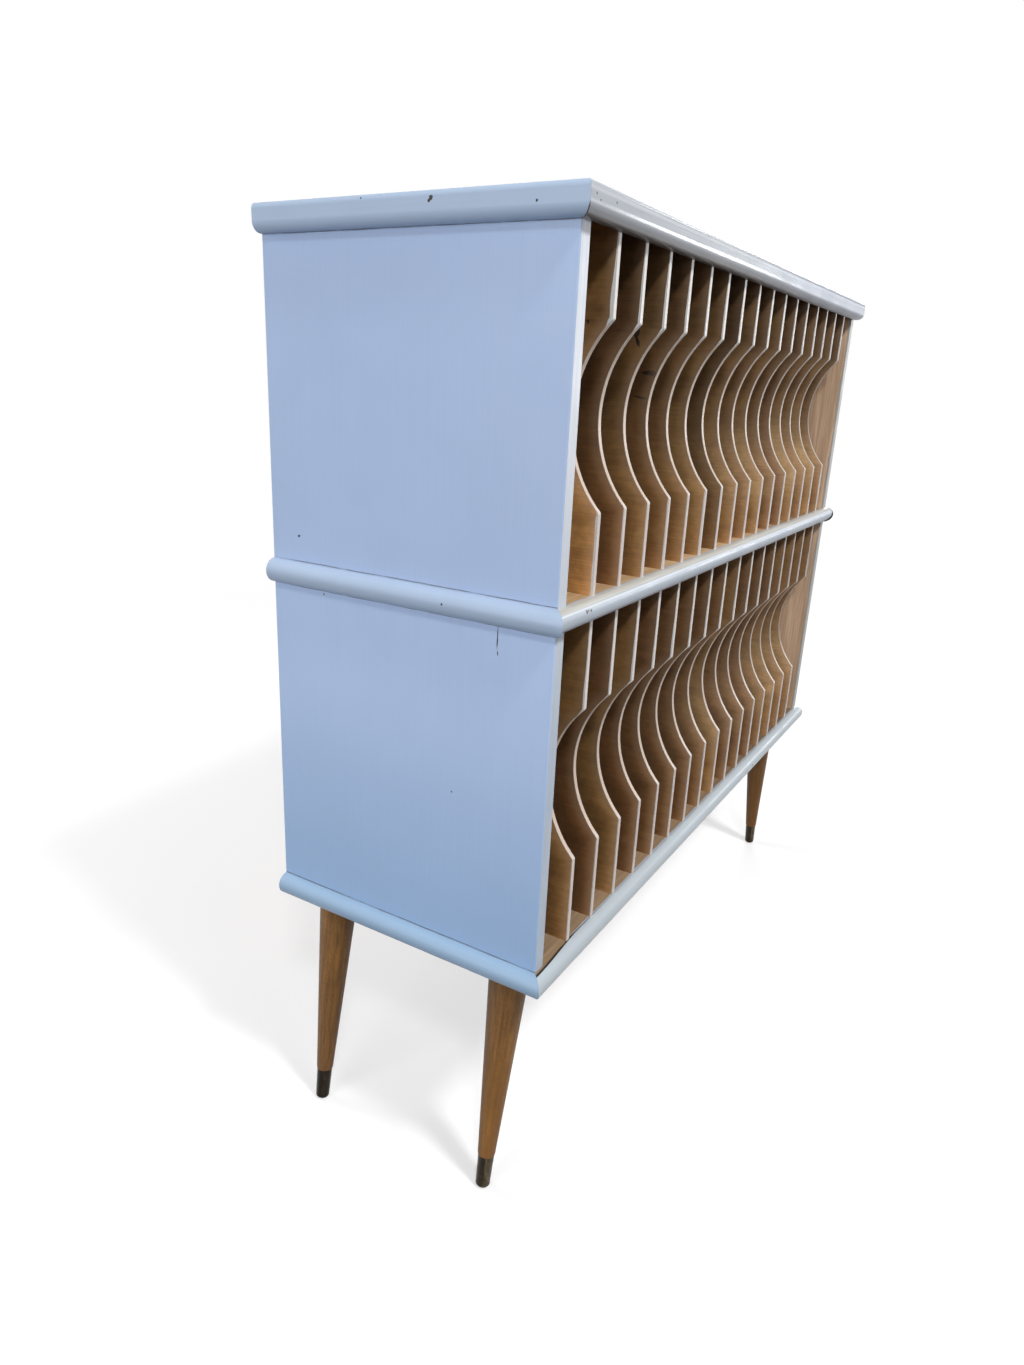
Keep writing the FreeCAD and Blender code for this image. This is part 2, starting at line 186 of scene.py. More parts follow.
class Shader:
    """The nodes of one material, or of the world. Most methods add a node or two and give back a Value."""

    def __init__(self, owner):
        """owner is the world, or the name of a new material."""
        self.owner = bpy.data.materials.new(owner) if isinstance(owner, str) else owner
        self.owner.use_nodes = True
        self.tree = self.owner.node_tree
        self.tree.nodes.clear()
        self.point = self.out(self.add("ShaderNodeTexCoord"), "Object")
        self.x, self.y, self.z = self.split(self.point)

    def add(self, kind, inputs=None, **settings):
        """A node with its settings, and its inputs by name or by place."""
        node = self.tree.nodes.new(kind)
        for key, value in settings.items():
            setattr(node, key, value)
        for key, value in (inputs or {}).items():
            if isinstance(value, Value):
                self.tree.links.new(value.socket, node.inputs[key])
            elif value is not None:
                node.inputs[key].default_value = value
        return node

    def out(self, node, key=0):
        return Value(self, node.outputs[key])

    # ----- numbers -----

    def math(self, operation, a, b=None, c=None, clamp=False):
        return self.out(self.add("ShaderNodeMath", {0: a, 1: b, 2: c}, operation=operation, use_clamp=clamp))

    def most(self, a, b):
        return self.math("MAXIMUM", a, b)

    def least(self, a, b):
        return self.math("MINIMUM", a, b)

    def size(self, a):
        return self.math("ABSOLUTE", a)

    def above(self, a, b):
        """1 where a is over b, and 0 elsewhere."""
        return self.math("GREATER_THAN", a, b)

    def under(self, a, b):
        """1 where a is less than b, and 0 elsewhere."""
        return self.math("LESS_THAN", a, b)

    def step(self, value, low, high, out_low=0.0, out_high=1.0):
        """Smoothly from out_low at low to out_high at high."""
        inputs = {0: value, 1: low, 2: high, 3: out_low, 4: out_high}
        return self.out(self.add("ShaderNodeMapRange", inputs, interpolation_type="SMOOTHSTEP"), "Result")

    def near(self, value, target, full, none, level=1.0):
        """level where value is within full of target, falling to 0 where it is none away."""
        return self.step(self.size(value - target), full, none, level, 0.0)

    def ramp(self, value, low, high):
        """In a straight line from 0 at low to 1 at high."""
        scale = 1 / (high - low)
        return self.math("MULTIPLY_ADD", value, scale, -low * scale, clamp=True)

    def pick(self, number, default, exceptions):
        """default, or the value of the exception whose key is number."""
        total = default
        for key, value in exceptions.items():
            total = self.math("COMPARE", number, key, 0.4) * (value - default) + total
        return total

    def dice(self, number):
        """A chance from 0 to 1 that belongs to the number."""
        return self.out(self.add("ShaderNodeTexWhiteNoise", {"W": number}, noise_dimensions="1D"), "Value")

    # ----- vectors and textures -----

    def split(self, vector):
        node = self.add("ShaderNodeSeparateXYZ", {0: vector})
        return [self.out(node, axis) for axis in range(3)]

    def join(self, x, y, z):
        return self.out(self.add("ShaderNodeCombineXYZ", {0: x, 1: y, 2: z}))

    def vector(self, operation, a, b):
        inputs = {0: a, "Scale" if operation == "SCALE" else 1: b}
        node = self.add("ShaderNodeVectorMath", inputs, operation=operation)
        return self.out(node, "Value" if operation in ("DISTANCE", "DOT_PRODUCT") else "Vector")

    def facing(self, direction):
        """How squarely the surface faces a direction or its opposite, from 0 to 1."""
        normal = self.out(self.add("ShaderNodeNewGeometry"), "Normal")
        return self.size(self.vector("DOT_PRODUCT", normal, direction))

    def noise(self, vector, scale=1.0, detail=2.0, roughness=0.5, distortion=0.0):
        inputs = {"Vector": vector, "Scale": scale, "Detail": detail, "Roughness": roughness,
                  "Distortion": distortion}
        return self.out(self.add("ShaderNodeTexNoise", inputs), "Fac")

    def texture(self, scale, detail, roughness=0.5, distortion=0.0, offset=(0, 0, 0), vector=None):
        """Noise that has its own scale along each axis."""
        inputs = {"Vector": vector or self.point, "Location": offset, "Scale": scale}
        placed = self.out(self.add("ShaderNodeMapping", inputs))
        return self.noise(placed, 1.0, detail, roughness, distortion)

    # ----- colours and surfaces -----

    def mix(self, share, a, b, blend="MIX"):
        first, second = (colour if isinstance(colour, Value) else (*colour, 1) for colour in (a, b))
        node = self.add("ShaderNodeMix", {"Factor": share, "A": first, "B": second},
                        data_type="RGBA", blend_type=blend)
        return self.out(node, "Result")

    def tinted(self, share, colour, tint):
        """Multiplies a colour by a tint, as far as the share goes."""
        return self.mix(share, colour, self.mix(1.0, colour, tint, "MULTIPLY"))

    def scaled(self, colour, level):
        """A colour times one number."""
        return self.mix(1.0, colour, self.join(level, level, level), "MULTIPLY")

    def tone(self, colour, share, amount):
        """Darkens or lightens a colour by up to amount either way as share runs from 0 to 1."""
        return self.scaled(colour, self.step(share, 0.25, 0.75, 1 - amount, 1 + amount))

    def bump(self, height, distance, strength=1.0, below=None):
        inputs = {"Height": height, "Distance": distance, "Strength": strength, "Normal": below}
        return self.out(self.add("ShaderNodeBump", inputs))

    def seen(self):
        """1 to the camera and in reflections, and 0 to light that bounces off dull surfaces."""
        path = self.add("ShaderNodeLightPath")
        reflected = self.most(self.out(path, "Is Glossy Ray"), self.out(path, "Is Transmission Ray"))
        return self.most(self.out(path, "Is Camera Ray"), reflected)

    def blend(self, share, first, second):
        """One surface, or as far as the share goes another."""
        return self.out(self.add("ShaderNodeMixShader", {0: share, 1: first, 2: second}))

    def finish(self, colour, roughness, normal=None, metallic=0.0, specular=0.5,
               coat=0.0, coat_roughness=0.1, coat_normal=None):
        """Makes the material a painted, wooden or metal one."""
        inputs = {"Base Color": colour, "Roughness": roughness, "Normal": normal, "Metallic": metallic,
                  "Specular IOR Level": specular, "Coat Weight": coat, "Coat Roughness": coat_roughness,
                  "Coat Normal": coat_normal}
        surface = self.out(self.add("ShaderNodeBsdfPrincipled", inputs))
        self.add("ShaderNodeOutputMaterial", {"Surface": surface})
        return self.owner

    # ----- masks that several materials share -----

    def spots(self, places, ragged=0.0012):
        """1 inside small ragged spots, each (x, y, z, radius)."""
        wobble = (self.noise(self.point, 420, 3) - 0.5) * (4 * ragged)
        total = 0.0
        for x, y, z, radius in places:
            gap = self.vector("DISTANCE", self.point, (x, y, z)) + wobble
            total = self.most(total, self.step(gap, radius * 0.85, radius, 1.0, 0.0))
        return total

    def cracks(self, lines, ragged=0.0016):
        """1 along wandering cracks, each (start, end, half width), which thin out at both ends."""
        wander = (self.noise(self.point, 170, 4) - 0.5) * (2 * ragged)
        total = 0.0
        for start, end, half_width in lines:
            run = Vector(end) - Vector(start)
            from_start = self.vector("SUBTRACT", self.point, start)
            share = self.vector("DOT_PRODUCT", from_start, run / run.length_squared)
            clamped = self.math("ADD", share, 0.0, clamp=True)
            nearest = self.vector("ADD", start, self.vector("SCALE", run, clamped))
            gap = self.size(self.vector("DISTANCE", self.point, nearest) + wander)
            width = self.step(self.size(clamped - 0.5), 0.15, 0.5, half_width, half_width * 0.25)
            total = self.most(total, self.step(gap, width * 0.7, width, 1.0, 0.0))
        return total


# ---------- paint and wood that several materials share ----------

BRUSH_FINE = 380
BRUSH_LONG = 5
# Painted shade darkens the paint below this height.
FLOOR_SHADE_REACH = UNDERSIDE_Z + 0.32


def stretched(along, fine, long):
    """A texture scale for streaks that are fine across an axis and long along it."""
    scale = [fine] * 3
    scale["xyz".index(along)] = long
    return scale


def floor_shade(shader, colour):
    """Painted shade: darker and cooler towards the floor."""
    share = shader.step(shader.z, UNDERSIDE_Z, FLOOR_SHADE_REACH, 1.0, 0.0)
    return shader.tinted(share, colour, FLOOR_SHADE_TINT)


def paint_surface(shader, colour, gloss, along, true_normal=None):
    """Brushed paint: colour varied a little, brush lines along one axis and a fine orange peel."""
    brush = shader.texture(stretched(along, BRUSH_FINE, BRUSH_LONG), 3, 0.6)
    cloud = shader.noise(shader.point, 6.0, 4, 0.6)
    dust = shader.step(shader.noise(shader.point, 19, 5, 0.65), 0.56, 0.80, 0.0, 0.20)
    colour = shader.tone(colour, cloud, 0.022)
    colour = shader.tone(colour, brush, 0.012)
    colour = shader.tinted(dust, colour, DUST_TINT)
    peel = shader.noise(shader.point, 800, 2)
    normal = shader.bump(brush, 0.00014, 0.6, true_normal)
    normal = shader.bump(peel, 0.00005, 0.4, normal)
    rough = shader.step(shader.noise(shader.point, 24, 4), 0.3, 0.7, gloss - 0.05, gloss + 0.07)
    return colour, rough, normal


def grain(shader, pale, dark, along, seed, fine=900.0, width=60.0, vector=None):
    """Straight-grained wood: broad bands, fine pores and slow changes of tone along one axis."""
    bands_scale = stretched(along, width, width / 18)
    streaks_scale = stretched(along, width * 5, width / 8)
    pores_scale = stretched(along, fine, fine / 40)
    bands = shader.texture(bands_scale, 4, 0.55, 0.8, offset=(seed, seed * 0.7, seed * 0.3), vector=vector)
    streaks = shader.texture(streaks_scale, 3, 0.6, 0.3, offset=(0, seed, seed), vector=vector)
    pores = shader.texture(pores_scale, 2, 0.7, offset=(seed * 0.2, seed, 0), vector=vector)
    colour = shader.mix(shader.step(bands, 0.32, 0.68), dark, pale)
    colour = shader.tone(colour, streaks, 0.16)
    colour = shader.tone(colour, pores, 0.13)
    height = streaks * 0.6 + pores
    normal = shader.bump(height, 0.00013, 0.55)
    rough = shader.step(pores, 0.3, 0.7, 0.42, 0.6)
    return colour, rough, normal


# ---------- dividers, numbered 1 to 16 above the shelf and 17 to 32 below it ----------

# The chance that sets a divider's wood, from reddish at 0 to golden at 1, where it isn't left to the dice.
DIVIDER_HUES = {1: 0.85, 2: 0.30, 3: 0.75, 4: 0.45}

# Dividers that are lighter or darker than the rest.
DIVIDER_LEVELS = {1: 1.30, 7: 0.55}

# How far the edge paint laps onto the faces at the head and the foot, and along the scoop's arc.
HEAD_LAP = 0.0008
HEAD_LAPS = {1: 0.0036, 2: 0.0019, 3: 0.0019, 4: 0.0014, 6: 0.0014, 17: 0.0014, 19: 0.0015, 21: 0.0012}
FOOT_LAP = 0.0005
FOOT_LAPS = {1: 0.0022, 4: 0.0010, 6: 0.0012}
ARC_LAP = 0.0003


def left_face(number):
    """x of an upper divider's left face."""
    return FIRST_DIVIDER_X - DIVIDER_THICKNESS / 2 + (number - 1) * DIVIDER_PITCH


# Marks on left faces: splits in the wood, each (start, end, half width), and knots, each (x, y, z, radius).
DIVIDER_SPLITS = [
    ((left_face(3), -0.1492, TOP_UNDER_Z - 0.0905), (left_face(3), -0.1550, TOP_UNDER_Z - 0.1032), 0.0021),
    ((left_face(4), -0.1316, TOP_UNDER_Z - 0.1282), (left_face(4), -0.1512, TOP_UNDER_Z - 0.1292), 0.0025),
    ((left_face(4), -0.1226, TOP_UNDER_Z - 0.1540), (left_face(4), -0.1432, TOP_UNDER_Z - 0.1572), 0.0009),
]
DIVIDER_KNOTS = [
    (left_face(1), -0.1554, TOP_UNDER_Z - 0.0872, 0.0020),
    (left_face(3), -0.1500, TOP_UNDER_Z - 0.0890, 0.0050),
    (left_face(4), -0.1480, TOP_UNDER_Z - 0.1294, 0.0036),
]


def divider_index(shader, below):
    """The number of the divider that the point is on."""
    number = shader.math("ROUND", (shader.x - FIRST_DIVIDER_X) / DIVIDER_PITCH) + 1.0
    return number + below * DIVIDERS


def divider_wood(shader, index):
    """Plywood, with each divider cut from another stretch of the sheet."""
    chance = shader.pick(index, shader.dice(index), DIVIDER_HUES)
    shift = shader.join(0.0, chance * 3.0, index * 0.7)
    shifted = shader.vector("ADD", shader.point, shift)
    blotch = shader.noise(shifted, 40, 4, 0.6, 0.5)
    hue = chance * 0.5 + blotch * 0.5
    colour = shader.mix(shader.step(hue, 0.3, 0.7), PLY_RED, PLY_GOLD)
    shade = shader.texture((26, 9, 34), 4, 0.6, 0.6, vector=shifted)
    colour = shader.mix(shader.step(shade, 0.36, 0.68, 0.0, 0.45), colour, PLY_DARK)
    lines = shader.texture((500, 10, 620), 3, 0.6, vector=shifted)
    colour = shader.tone(colour, lines, 0.14)
    colour = shader.tone(colour, chance, 0.20)
    colour = shader.tone(colour, shader.noise(shifted, 130, 3), 0.10)
    normal = shader.bump(lines, 0.00012, 0.5)
    rough = shader.step(lines, 0.3, 0.7, 0.42, 0.58)
    return colour, rough, normal


def divider_light_by_height(shader, colour, below, rise):
    """Painted light and shade on the faces by height, which rise measures from the middle of the scoop."""
    # The lower parts are painted paler as light, and above the shelf the scoops and the heads are painted
    # darker as shade.
    lower_light = shader.step(rise, 0.02, -0.15, 0.88, shader.step(shader.x, -0.10, 0.35, 1.04, 0.96))
    shaded = shader.step(rise, -0.08, 0.03, 0.0, 0.27) + shader.step(rise, 0.06, 0.11, 0.0, 0.20)
    colour = shader.scaled(colour, lower_light * (1 - shaded * (1 - below)))

    # Painted light: towards the right the wood round the lower half of the scoops is paler and greyer.
    foot = shader.step(rise, 0.03, -0.05) * shader.step(rise, -0.15, -0.09)
    share = foot * shader.step(shader.x, -0.30, 0.20)
    return shader.tinted(share, colour, SCOOP_FOOT_LIGHT_TINT)


def divider_depths(shader, colour, index, rise, inset):
    """Paleness along the edge, and painted light and shade by the inset, the distance in from the scooped
    front edge.
    """
    # The wood is paler along the edge.
    colour = shader.mix(shader.step(inset, 0.0, 0.016, 0.34, 0.0), colour, PLY_EDGE_PALE)

    # Painted shade: further in it gets darker, except on the first divider, and less so towards the right.
    depth_shade = shader.step(inset, 0.004, 0.035, 1.0, 0.64) * 0.90
    share = shader.pick(index, 1.0, {1: 0.0}) * shader.step(shader.x, -0.05, 0.35, 1.0, 0.35)
    colour = shader.mix(share, colour, shader.scaled(colour, depth_shade))

    # Painted light from the front on the edge of the lower parts.
    lit = shader.step(inset, 0.001, 0.026, 0.70, 0.0) * shader.step(rise, -0.01, -0.09)
    colour = shader.scaled(colour, lit + 1.0)
    return shader.scaled(colour, shader.pick(index, 1.0, DIVIDER_LEVELS))


def divider_edge(shader, index, rise, inset):
    """Where the edge is painted, lapping over the face above and below the scoop, and its colour."""
    head = shader.step(rise, HALF_CHORD - 0.008, HALF_CHORD + 0.002)
    head = head * shader.step(rise, 0.165, 0.105, 0.2, 1.0)
    foot = shader.step(rise, -HALF_CHORD + 0.004, -HALF_CHORD - 0.006)
    lap = head * shader.pick(index, HEAD_LAP, HEAD_LAPS) + foot * shader.pick(index, FOOT_LAP, FOOT_LAPS)
    ragged = shader.step(shader.texture((50, 50, 30), 4), 0.2, 0.8, 0.75, 1.15)
    lap = (lap + ARC_LAP) * ragged
    painted = shader.step(inset, lap, lap + 0.0005, 1.0, 0.0)

    # Small patches are worn off along the scoop.
    worn = shader.step(shader.noise(shader.point, 300, 3, 0.7), 0.70, 0.74)
    off_arc = shader.step(shader.size(rise), HALF_CHORD * 0.9, HALF_CHORD)
    painted = painted * (1 - worn * (1 - off_arc))

    # Painted shade: the paint is darker and creamier along the scoop, and darker at the far end, most of all
    # high up.
    straight = shader.mix(shader.above(rise, 0.0), EDGE_FOOT, EDGE_HEAD)
    edge = shader.mix(off_arc, EDGE_ARC_SHADED, straight)
    far = shader.step(shader.x, -0.05, INNER_X, 0.0, 0.9) * shader.step(rise, -0.07, 0.0, 0.25, 1.0)
    edge = shader.mix(far, edge, EDGE_FAR_SHADED)
    edge = shader.tone(edge, shader.texture((200, 200, 30), 3), 0.05)
    # Where it laps onto the face, the paint is whiter as painted light.
    on_face = shader.step(inset, 0.0001, 0.0006)
    return painted, shader.mix(on_face, edge, SMEAR_LIT)


def divider_material():
    """Plywood with an off-white painted front edge."""
    shader = Shader("divider_plywood")
    below = shader.under(shader.z, (SHELF_UNDER_Z + SHELF_TOP_Z) / 2)
    index = divider_index(shader, below)
    rise = shader.z - shader.pick(below, UPPER_MIDDLE_Z, {1: LOWER_MIDDLE_Z})
    from_centre = shader.y - SCOOP_CENTRE_Y
    reach = shader.math("SQRT", from_centre * from_centre + rise * rise)
    inset = shader.least(shader.y - FRONT_Y, reach - SCOOP_RADIUS)

    colour, rough, normal = divider_wood(shader, index)
    colour = divider_light_by_height(shader, colour, below, rise)
    marks = shader.most(shader.cracks(DIVIDER_SPLITS), shader.spots(DIVIDER_KNOTS) * 0.9)
    colour = shader.mix(marks, colour, CRACK)
    colour = divider_depths(shader, colour, index, rise, inset)
    painted, paint = divider_edge(shader, index, rise, inset)
    colour = shader.mix(painted, colour, paint)
    rough = rough - painted * 0.08
    return shader.finish(colour, rough, normal, specular=0.4)


# ---------- boards and back ----------

def top_paint(shader, inset):
    """Where the top board's upper face is painted, and that paint, rubbed in places."""
    up = shader.step(shader.z, TOP_Z - 0.0006, TOP_Z - 0.0003)
    paint, rough, normal = paint_surface(shader, BLUE, 0.34, "x")
    rub = shader.step(shader.texture((14, 30, 30), 5, 0.7), 0.60, 0.72, 0.0, 0.35)
    paint = shader.tinted(rub, paint, RUB_TINT)
    edge = shader.least(inset, OUTER_X - shader.size(shader.x))
    paint = shader.mix(shader.step(edge, 0.0003, 0.0007, 0.8, 0.0), paint, JOINT_LINE)
    return up, paint, rough, normal


def board_material(name, pale=BOARD_PALE, dark=BOARD_DARK, painted_top=False, gap_at_front=False):
    """Bare wood inside, darkened towards the right as painted shade, and a lip of paint along the front."""
    shader = Shader(name)
    colour, rough, normal = grain(shader, pale, dark, "x", 7.0, 700, 60)
    # Painted shade: the wood darkens towards the right.
    colour = shader.scaled(colour, shader.step(shader.x, -0.10, 0.40, 1.0, 0.65))
    inset = shader.y - FRONT_Y
    ragged = shader.texture((30, 200, 200), 4) * 0.004
    painted = shader.step(inset, ragged, ragged + 0.0008, 1.0, 0.0)
    gap = 0.0
    if gap_at_front:
        # Near the left corner the lip is bare, and past the first divider a dark gap shows.
        painted = painted * shader.step(shader.x, -0.475, -0.440)
        opening = shader.step(shader.x, -OUTER_X, -OUTER_X + 0.21, 0.0022, 0.0)
        gap = shader.step(inset, opening * 0.8, opening, 1.0, 0.0) * shader.step(shader.x, -0.482, -0.472)
    # The lip takes the front mouldings' paint, painted paler as light.
    colour = shader.mix(gap, shader.mix(painted, colour, FRONT_PAINT_LIT), CRACK)
    if painted_top:
        up, paint, paint_rough, normal = top_paint(shader, inset)
        colour = shader.mix(up, colour, paint)
        rough = rough * (1 - up) + paint_rough * up
    return shader.finish(colour, rough, normal)


def back_material():
    """Plywood: a broad wavy figure from end to end, and fine pores."""
    shader = Shader("back_plywood")
    swirl = shader.texture((1.3, 1.3, 6.0), 3, 0.5, 1.6)
    rings = shader.math("SINE", swirl * 150.0)
    colour, rough, normal = grain(shader, BACK_PALE, BACK_DARK, "x", 21.0, 700, 40)
    colour = shader.tone(colour, shader.step(rings, -1.0, 1.0), 0.10)
    return shader.finish(colour, rough, normal)


# ---------- side panels ----------

# Marks on the outsides of the side panels: chips, each (x, y, z, radius), and one crack in two pieces.
PANEL_CHIPS = [
    (-OUTER_X, 0.1556, SHELF_TOP_Z + 0.0296, 0.0016),
    (-OUTER_X, 0.1196, SHELF_UNDER_Z - 0.0142, 0.0013),
    (-OUTER_X, -0.0630, SHELF_UNDER_Z - 0.2100, 0.0010),
    (OUTER_X, 0.0920, TOP_UNDER_Z - 0.0600, 0.0016),
    (OUTER_X, -0.1210, BOTTOM_TOP_Z + 0.0850, 0.0020),
]
PANEL_CRACKS = [
    ((-OUTER_X, -0.1146, SHELF_UNDER_Z - 0.0105), (-OUTER_X, -0.1142, SHELF_UNDER_Z - 0.0350), 0.0009),
    ((-OUTER_X, -0.1148, SHELF_UNDER_Z - 0.0360), (-OUTER_X, -0.1156, SHELF_UNDER_Z - 0.0425), 0.0007),
]

# Dark lines along the panel, each (height, half width): dirt just above the side mouldings, and painted
# shadow just below them.
DIRT_AND_SHADOW_LINES = [
    (TOP_Z - 2 * MOULDING_RADIUS - 0.0002, 0.0007),
    (SHELF_TOP_Z + 0.0010, 0.0007),
    (SHELF_TOP_Z - 2 * MOULDING_RADIUS - 0.0004, 0.0010),
    (BOTTOM_TOP_Z + 0.0010, 0.0008),
]


def dirt_and_shadow_along_mouldings(shader):
    """How much dirt and painted shadow there is, in wavering broken lines."""
    waver = (shader.texture((1, 26, 1), 3) - 0.5) * 0.0016
    breaks = shader.step(shader.texture((1, 45, 1), 3, offset=(3, 0, 0)), 0.30, 0.55, 0.25, 0.8)
    height = shader.z + waver
    lines = 0.0
    for line_z, half_width in DIRT_AND_SHADOW_LINES:
        lines = shader.most(lines, shader.near(height, line_z, half_width * 0.5, half_width))
    return lines * breaks


def panel_paint(shader):
    """Blue paint with marks, dirt and painted shadow lines, lighter just under the shelf and darker towards
    the floor as painted light and shade.
    """
    paint, rough, normal = paint_surface(shader, floor_shade(shader, BLUE), 0.42, "z")
    # Painted light: the panel is a little lighter just under the shelf.
    lower = shader.under(shader.z, SHELF_UNDER_Z)
    painted_lift = shader.step(shader.z, SHELF_UNDER_Z - 0.24, SHELF_UNDER_Z - 0.05, 0.60, 0.75)
    paint = shader.tone(paint, shader.pick(lower, 0.52, {1: painted_lift}), 0.15)
    marks = shader.most(shader.spots(PANEL_CHIPS), shader.cracks(PANEL_CRACKS, 0.0007))
    paint = shader.mix(marks, paint, WOOD_BENEATH)
    # Dirt and painted shadow along the mouldings.
    paint = shader.mix(dirt_and_shadow_along_mouldings(shader), paint, GRIME_AND_SHADOW)
    return paint, rough, normal


def side_material():
    """Painted outside and on the front edge, and bare wood inside."""
    shader = Shader("blue_paint_panel")
    paint, rough, normal = panel_paint(shader)
    across = shader.size(shader.x)
    inset = shader.y - FRONT_Y
    right = shader.above(shader.x, 0.0)

    # Painted light and shade on the front edge: it is whiter than the side, most of all near the top, and
    # greyer on the right panel.
    high = shader.step(shader.z, SHELF_UNDER_Z - 0.20, TOP_UNDER_Z - 0.10)
    edge = shader.mix(high, PANEL_EDGE_LOW, PANEL_EDGE_LIT)
    edge = shader.mix(right, edge, PANEL_EDGE_SHADED)
    edge = shader.tone(edge, shader.texture((700, 700, 9), 3), 0.07)
    front = shader.step(inset, 0.0010, 0.0017, 1.0, 0.0)
    off_outside = shader.step(across, OUTER_X - 0.0013, OUTER_X - 0.0005, 1.0, 0.0)
    paint = shader.mix(off_outside * shader.most(front, right), paint, edge)

    # Paint laps round the front edge onto the wood.
    outside = shader.step(across, OUTER_X - 0.0012, OUTER_X - 0.0004)
    ragged = shader.texture((60, 60, 25), 4) * 0.006
    lip = shader.step(inset, ragged, ragged + 0.0006, 1.0, 0.0)
    covered = shader.most(outside, lip)
    wood, _, _ = grain(shader, BOARD_PALE, BOARD_DARK, "z", 11.0, 700, 60)
    # Painted light: the bare wood inside the right panel is lighter and cooler.
    wood = shader.tinted(right, wood, RIGHT_PANEL_LIGHT_TINT)
    colour = shader.mix(covered, wood, paint)
    rough = rough * covered + (1 - covered) * 0.5
    return shader.finish(colour, rough, normal, specular=0.4)


# ---------- mouldings ----------

# How near to the board a point of a moulding is when it is on its back face.
BACK_FACE = 0.00003

# Chips in the paint of the mouldings: (x, y, z, radius).
MOULDING_CHIPS = [
    (-SIDE_FACE_X, -0.0327, TOP_Z - 0.0071, 0.0022),
    (-SIDE_FACE_X, -0.0306, TOP_Z - 0.0095, 0.0017),
    (-SIDE_FACE_X, 0.0506, TOP_Z - 0.0038, 0.0010),
    (-SIDE_FACE_X, -0.1443, TOP_Z - 0.0151, 0.0011),
    (-0.5533, FRONT_FACE_Y, TOP_Z - 0.0106, 0.0013),
    (-0.5450, FRONT_FACE_Y, TOP_Z - 0.0144, 0.0010),
    (-0.5136, FRONT_FACE_Y, TOP_Z - 0.0115, 0.0013),
    (-0.5634, -0.0540, SHELF_TOP_Z - 0.0134, 0.0010),
    (-0.5092, -0.1943, SHELF_TOP_Z - 0.0080, 0.0024),
    (-0.5045, -0.1943, SHELF_TOP_Z - 0.0078, 0.0020),
    (-0.5000, -0.1943, SHELF_TOP_Z - 0.0083, 0.0018),
    (-0.5190, -0.1930, BOTTOM_TOP_Z - 0.0220, 0.0013),
    (0.2140, -0.1950, BOTTOM_TOP_Z - 0.0120, 0.0017),
    (0.5636, 0.0310, BOTTOM_TOP_Z - 0.0110, 0.0018),
]


def upwardness(shader, along):
    """How far a moulding's surface looks up, from -1 to 1, worked out from its rounds."""
    shelf, nosing_turn = (SHELF_FRONT_RADIUS, 0.96) if along == "x" else (MOULDING_RADIUS, 0.75)
    levels = [  # top, upper round, lower round, height
        (BOTTOM_TOP_Z, MOULDING_RADIUS, MOULDING_RADIUS, 2 * MOULDING_RADIUS),
        (SHELF_TOP_Z, shelf, shelf, 2 * shelf),
        (TOP_Z, NOSING_TOP_ROUND, nosing_turn * MOULDING_RADIUS, 2 * MOULDING_RADIUS),
    ]
    # The front nosing's lower round looks a little tighter towards the right.
    shift = shader.step(shader.x, -0.10, 0.30, 0.0, 0.0016) if along == "x" else 0.0
    up = -1.0
    for top, upper, lower, height in levels:
        up = up + shader.ramp(shader.z, top - upper, top)
        low_z = shader.z + shift if top == TOP_Z else shader.z
        up = up + shader.ramp(low_z, top - height, top - height + lower)
    for gap_above in (LOWER_MIDDLE_Z, UPPER_MIDDLE_Z):
        up = up - shader.above(shader.z, gap_above) * 2.0
    return up


def round_normal(shader, along, up):
    """A moulding's outward direction, from its rounds and not its facets."""
    out = shader.math("SQRT", shader.most(1 - up * up, 0.0))
    if along == "x":
        stand_off = FRONT_Y - shader.y
        local = shader.join(0.0, -out, up)
        inward = shader.join(0.0, 1.0, 0.0)
    else:
        stand_off = shader.size(shader.x) - OUTER_X
        side = shader.math("SIGN", shader.x)
        local = shader.join(out * side, 0.0, up)
        inward = shader.join(-side, 0.0, 0.0)
        local = shader.mix(shader.above(shader.y, BACK_Y - 0.0001), local, (0, 1, 0))
    local = shader.mix(shader.under(stand_off, BACK_FACE), local, inward)
    return shader.out(shader.add("ShaderNodeVectorTransform", {0: local}, vector_type="NORMAL",
                                 convert_from="OBJECT", convert_to="WORLD"))


def mitre_line(shader, outward, forward):
    """1 on the mitre, which gapes at the lower half of the top moulding and is faint at the right."""
    low_half = shader.step(shader.z, TOP_Z - MOULDING_RADIUS * 1.1, TOP_Z - MOULDING_RADIUS * 1.6)
    gape = low_half * shader.step(shader.z, SHELF_TOP_Z + 0.1, SHELF_TOP_Z + 0.2)
    width = gape * 0.0010 + 0.00022
    line = shader.near(outward, forward, width * 0.6, width)
    line = line * shader.step(gape, 0.0, 1.0, 0.35, 1.0)
    return line * shader.step(shader.x, 0.0, 0.1, 1.0, 0.1)


def moulding_joint(shader, paint, outward, forward, at_top):
    """A fine line of dirt where the moulding meets the panel, and bare wood behind and at the inner lip."""
    stand_off = shader.most(outward, forward)
    wavy = shader.step(shader.texture((40, 40, 40), 3), 0.3, 0.7, 0.00025, 0.0010)
    joint = shader.step(stand_off, wavy * 0.5, wavy, 0.75, 0.0)
    paint = shader.mix(joint, paint, JOINT_LINE)
    paint = shader.mix(shader.under(stand_off, BACK_FACE), paint, BOTTOM_PALE)
    inner_lip = shader.step(forward, wavy * 1.6, wavy * 2.4, 1.0, 0.0) * shader.under(outward, -0.018)
    underneath = shader.step(shader.z, TOP_Z - MOULDING_RADIUS, TOP_Z - MOULDING_RADIUS * 1.2)
    return shader.mix(inner_lip * underneath * at_top, paint, LIP_WOOD)


